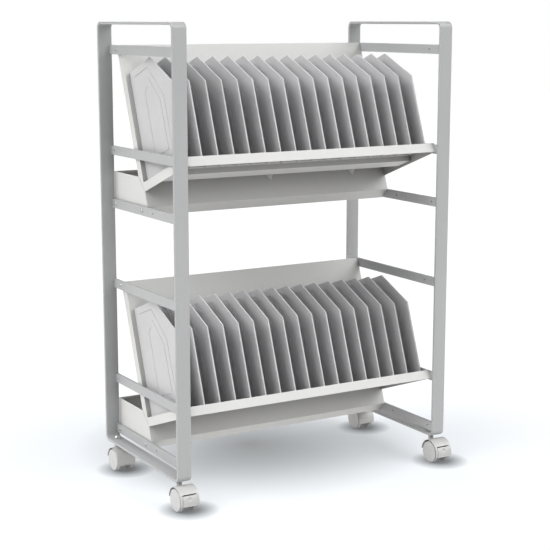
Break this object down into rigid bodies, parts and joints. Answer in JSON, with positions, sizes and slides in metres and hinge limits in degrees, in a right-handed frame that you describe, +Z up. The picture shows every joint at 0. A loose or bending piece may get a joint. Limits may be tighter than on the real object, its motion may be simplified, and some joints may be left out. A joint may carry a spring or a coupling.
{
  "type": "book cart",
  "caption": "Rolling two-tier cart: closed flat-bar end loops carry tilted V trays with upright divider plates, a cable trough behind each, on swivel casters.",
  "frame": {"origin": "on the floor, under the middle of the cart's overall box with the casters trailing forward", "axes": "+Z up, +X to the right along the trays, -Y towards the front, where the slots open"},
  "size_m": [0.696, 0.3912, 1],
  "materials": {
    "silver_powder_coat": "satin light silver-grey powder coat",
    "white_powder_coat": "satin off-white powder coat",
    "divider_plastic": "fine matte moulded plastic",
    "zinc_plated_steel": "bright zinc plate",
    "caster_hood_plastic": "smooth semi-gloss moulded nylon",
    "wheel_plastic": "smooth hard tread"
  },
  "bodies": {
    "cart_frame": {"left_end_loop": "silver_powder_coat", "left_upper_top_rail": "silver_powder_coat", "left_upper_middle_rail": "silver_powder_coat", "left_upper_bottom_rail": "silver_powder_coat", "left_lower_top_rail": "silver_powder_coat", "left_lower_middle_rail": "silver_powder_coat", "left_lower_bottom_rail": "silver_powder_coat", "right_end_loop": "silver_powder_coat", "right_upper_top_rail": "silver_powder_coat", "right_upper_middle_rail": "silver_powder_coat", "right_upper_bottom_rail": "silver_powder_coat", "right_lower_top_rail": "silver_powder_coat", "right_lower_middle_rail": "silver_powder_coat", "right_lower_bottom_rail": "silver_powder_coat", "upper_tray": "white_powder_coat", "upper_stiffener": "white_powder_coat", "upper_cable_trough": "white_powder_coat", "upper_gussets": "white_powder_coat", "upper_left_dividers": "divider_plastic", "upper_mid_left_dividers": "divider_plastic", "upper_middle_dividers": "divider_plastic", "upper_mid_right_dividers": "divider_plastic", "upper_right_dividers": "divider_plastic", "lower_tray": "white_powder_coat", "lower_stiffener": "white_powder_coat", "lower_cable_trough": "white_powder_coat", "lower_gussets": "white_powder_coat", "lower_left_dividers": "divider_plastic", "lower_mid_left_dividers": "divider_plastic", "lower_middle_dividers": "divider_plastic", "lower_mid_right_dividers": "divider_plastic", "lower_right_dividers": "divider_plastic", "tray_screws": "zinc_plated_steel", "trough_screws": "zinc_plated_steel", "caster_nuts": "zinc_plated_steel", "front_left_caster_stem": "zinc_plated_steel", "front_right_caster_stem": "zinc_plated_steel", "rear_left_caster_stem": "zinc_plated_steel", "rear_right_caster_stem": "zinc_plated_steel"},
    "front_left_caster": {"front_left_caster_hood": "caster_hood_plastic", "front_left_caster_axle": "zinc_plated_steel", "front_left_brake_pin": "zinc_plated_steel"},
    "front_left_outer_roller": {"front_left_outer_wheel": "wheel_plastic"},
    "front_left_inner_roller": {"front_left_inner_wheel": "wheel_plastic"},
    "front_left_brake": {"front_left_brake_lever": "caster_hood_plastic"},
    "front_right_caster": {"front_right_caster_hood": "caster_hood_plastic", "front_right_caster_axle": "zinc_plated_steel", "front_right_brake_pin": "zinc_plated_steel"},
    "front_right_outer_roller": {"front_right_outer_wheel": "wheel_plastic"},
    "front_right_inner_roller": {"front_right_inner_wheel": "wheel_plastic"},
    "front_right_brake": {"front_right_brake_lever": "caster_hood_plastic"},
    "rear_left_caster": {"rear_left_caster_hood": "caster_hood_plastic", "rear_left_caster_axle": "zinc_plated_steel"},
    "rear_left_outer_roller": {"rear_left_outer_wheel": "wheel_plastic"},
    "rear_left_inner_roller": {"rear_left_inner_wheel": "wheel_plastic"},
    "rear_right_caster": {"rear_right_caster_hood": "caster_hood_plastic", "rear_right_caster_axle": "zinc_plated_steel"},
    "rear_right_outer_roller": {"rear_right_outer_wheel": "wheel_plastic"},
    "rear_right_inner_roller": {"rear_right_inner_wheel": "wheel_plastic"}
  },
  "joints": [
    {"name": "front_left_swivel", "type": "hinge", "parent": "cart_frame", "child": "front_left_caster", "pos_m": [-0.326, -0.14435, 0.04], "axis": [0, 0, 1], "continuous": true},
    {"name": "front_left_outer_roll", "type": "hinge", "parent": "front_left_caster", "child": "front_left_outer_roller", "pos_m": [-0.3405, -0.16635, 0.025], "axis": [1, 0, 0], "continuous": true},
    {"name": "front_left_inner_roll", "type": "hinge", "parent": "front_left_caster", "child": "front_left_inner_roller", "pos_m": [-0.3115, -0.16635, 0.025], "axis": [1, 0, 0], "continuous": true},
    {"name": "front_left_brake_pivot", "type": "hinge", "parent": "front_left_caster", "child": "front_left_brake", "pos_m": [-0.326, -0.18508, 0.03334], "axis": [-1, 0, 0], "range_deg": [0, 14]},
    {"name": "front_right_swivel", "type": "hinge", "parent": "cart_frame", "child": "front_right_caster", "pos_m": [0.326, -0.14435, 0.04], "axis": [0, 0, 1], "continuous": true},
    {"name": "front_right_outer_roll", "type": "hinge", "parent": "front_right_caster", "child": "front_right_outer_roller", "pos_m": [0.3405, -0.16635, 0.025], "axis": [1, 0, 0], "continuous": true},
    {"name": "front_right_inner_roll", "type": "hinge", "parent": "front_right_caster", "child": "front_right_inner_roller", "pos_m": [0.3115, -0.16635, 0.025], "axis": [1, 0, 0], "continuous": true},
    {"name": "front_right_brake_pivot", "type": "hinge", "parent": "front_right_caster", "child": "front_right_brake", "pos_m": [0.326, -0.18508, 0.03334], "axis": [-1, 0, 0], "range_deg": [0, 14]},
    {"name": "rear_left_swivel", "type": "hinge", "parent": "cart_frame", "child": "rear_left_caster", "pos_m": [-0.326, 0.16965, 0.04], "axis": [0, 0, 1], "continuous": true},
    {"name": "rear_left_outer_roll", "type": "hinge", "parent": "rear_left_caster", "child": "rear_left_outer_roller", "pos_m": [-0.3405, 0.14765, 0.025], "axis": [1, 0, 0], "continuous": true},
    {"name": "rear_left_inner_roll", "type": "hinge", "parent": "rear_left_caster", "child": "rear_left_inner_roller", "pos_m": [-0.3115, 0.14765, 0.025], "axis": [1, 0, 0], "continuous": true},
    {"name": "rear_right_swivel", "type": "hinge", "parent": "cart_frame", "child": "rear_right_caster", "pos_m": [0.326, 0.16965, 0.04], "axis": [0, 0, 1], "continuous": true},
    {"name": "rear_right_outer_roll", "type": "hinge", "parent": "rear_right_caster", "child": "rear_right_outer_roller", "pos_m": [0.3405, 0.14765, 0.025], "axis": [1, 0, 0], "continuous": true},
    {"name": "rear_right_inner_roll", "type": "hinge", "parent": "rear_right_caster", "child": "rear_right_inner_roller", "pos_m": [0.3115, 0.14765, 0.025], "axis": [1, 0, 0], "continuous": true}
  ]
}
